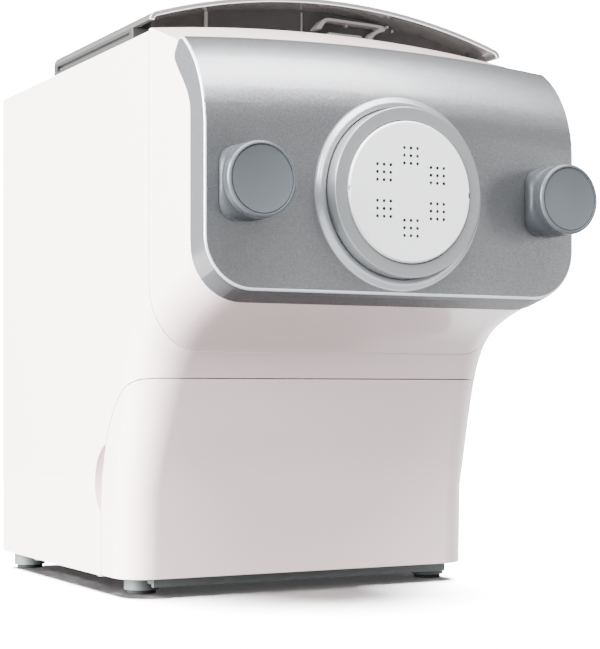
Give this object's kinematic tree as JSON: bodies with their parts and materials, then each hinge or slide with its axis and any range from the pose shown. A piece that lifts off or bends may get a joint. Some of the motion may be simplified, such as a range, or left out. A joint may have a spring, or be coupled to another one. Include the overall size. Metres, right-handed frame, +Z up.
{
  "type": "electric pasta maker",
  "caption": "Electric pasta maker with a flared body, arched lift-off lid, pull-off front panel with locking knobs, shaping disc, storage drawer, geared motor, mixing paddle and auger.",
  "frame": {"origin": "centre of the bounding box's underside, on the table under the machine", "axes": "+X to the right seen from the front, -Y out of the front panel, +Z up"},
  "size_m": [0.215, 0.32, 0.318],
  "materials": {
    "white_moulding": "satin",
    "tray_plastic": "satin",
    "rail_steel": "satin",
    "base_grey": "matt",
    "foot_rubber": "matt",
    "panel_silver": "metallic",
    "ring_grey": "satin",
    "bezel_silver": "bright",
    "disc_white": "matt",
    "knob_grey": "satin",
    "bush_steel": "satin",
    "stud_steel": "satin",
    "lid_smoke": "clear",
    "skirt_dark": "gloss",
    "rail_silver": "satin",
    "catch_grey": "satin",
    "pin_steel": "bright",
    "chamber_grey": "satin",
    "tube_grey": "satin",
    "seal_rubber": "matt",
    "paddle_white": "satin",
    "auger_white": "satin",
    "shaft_steel": "satin",
    "gear_nylon": "satin",
    "pinion_steel": "satin",
    "gearbox_grey": "matt",
    "bush_bronze": "satin",
    "motor_can": "satin",
    "bearing_steel": "bright",
    "core_iron": "satin",
    "copper_winding": "satin",
    "fan_black": "matt",
    "fascia_grey": "metallic",
    "window_black": "gloss",
    "board_green": "matt",
    "button_white": "satin",
    "gland_black": "matt",
    "screw_steel": "satin"
  },
  "bodies": {
    "machine": {"main_housing": "white_moulding", "front_frame": "white_moulding", "base_plate": "base_grey", "rubber_feet": "foot_rubber", "drawer_bay": "tray_plastic", "drawer_rails": "rail_steel", "mixing_chamber": "chamber_grey", "extrusion_tube": "tube_grey", "shaping_disc": "disc_white", "shaft_seal": "seal_rubber", "reduction_shaft": "shaft_steel", "gearbox_case": "gearbox_grey", "gearbox_cover": "gearbox_grey", "gearbox_bushes": "bush_bronze", "motor_case": "motor_can", "motor_end_cap": "motor_can", "motor_bearings": "bearing_steel", "stator_core": "core_iron", "stator_windings": "copper_winding", "locking_studs": "stud_steel", "control_fascia": "fascia_grey", "display_window": "window_black", "control_board": "board_green", "power_board": "board_green", "cord_gland": "gland_black", "base_screws": "screw_steel", "gearbox_screws": "screw_steel"},
    "lid": {"lid_shell": "lid_smoke", "lid_skirt": "skirt_dark", "lid_rails": "rail_silver", "lid_catch": "catch_grey", "lid_pins": "pin_steel"},
    "panel": {"front_panel": "panel_silver", "outlet_ring": "ring_grey", "ring_bezel": "bezel_silver"},
    "left_knob": {"knob_left": "knob_grey", "knob_bush_left": "bush_steel"},
    "right_knob": {"knob_right": "knob_grey", "knob_bush_right": "bush_steel"},
    "drawer": {"drawer_front": "white_moulding", "drawer_tray": "tray_plastic"},
    "agitator": {"mixing_paddle": "paddle_white", "auger_screw": "auger_white", "drive_shaft": "shaft_steel", "output_gear": "gear_nylon"},
    "reduction": {"reduction_gear": "gear_nylon"},
    "rotor": {"rotor_core": "core_iron", "motor_shaft": "shaft_steel", "motor_pinion": "pinion_steel", "cooling_fan": "fan_black"},
    "power_key": {"power_button": "button_white"},
    "program_key": {"program_button": "button_white"},
    "quantity_key": {"quantity_button": "button_white"},
    "start_key": {"start_button": "button_white"}
  },
  "joints": [
    {"name": "lid_lift", "type": "slide", "parent": "machine", "child": "lid", "axis": [0, 0, 1], "range_m": [0, 0.06]},
    {"name": "panel_pull", "type": "slide", "parent": "machine", "child": "panel", "axis": [0, -1, 0], "range_m": [0, 0.06]},
    {"name": "left_knob_turn", "type": "hinge", "parent": "panel", "child": "left_knob", "pos_m": [-0.0882, -0.15, 0.2078], "axis": [0, -1, 0], "range_deg": [0, 90]},
    {"name": "right_knob_turn", "type": "hinge", "parent": "panel", "child": "right_knob", "pos_m": [0.0882, -0.15, 0.2078], "axis": [0, -1, 0], "range_deg": [0, 90]},
    {"name": "drawer_pull", "type": "slide", "parent": "machine", "child": "drawer", "axis": [0, -1, 0], "range_m": [0, 0.055]},
    {"name": "agitator_turn", "type": "hinge", "parent": "machine", "child": "agitator", "pos_m": [0, 0, 0.2078], "axis": [0, -1, 0], "continuous": true},
    {"name": "reduction_turn", "type": "hinge", "parent": "machine", "child": "reduction", "pos_m": [0, 0.1, 0.1218], "axis": [0, -1, 0], "continuous": true},
    {"name": "rotor_turn", "type": "hinge", "parent": "machine", "child": "rotor", "pos_m": [0, 0.07, 0.0723], "axis": [0, -1, 0], "continuous": true},
    {"name": "power_press", "type": "slide", "parent": "machine", "child": "power_key", "axis": [-1, 0, 0], "range_m": [0, 0.001], "stiffness_N_per_m": 400},
    {"name": "program_press", "type": "slide", "parent": "machine", "child": "program_key", "axis": [-1, 0, 0], "range_m": [0, 0.001], "stiffness_N_per_m": 400},
    {"name": "quantity_press", "type": "slide", "parent": "machine", "child": "quantity_key", "axis": [-1, 0, 0], "range_m": [0, 0.001], "stiffness_N_per_m": 400},
    {"name": "start_press", "type": "slide", "parent": "machine", "child": "start_key", "axis": [-1, 0, 0], "range_m": [0, 0.001], "stiffness_N_per_m": 400}
  ],
  "couplings": [
    {"joint": "reduction_turn", "follows": "agitator_turn", "ratio": -3.7778},
    {"joint": "rotor_turn", "follows": "agitator_turn", "ratio": 17}
  ]
}
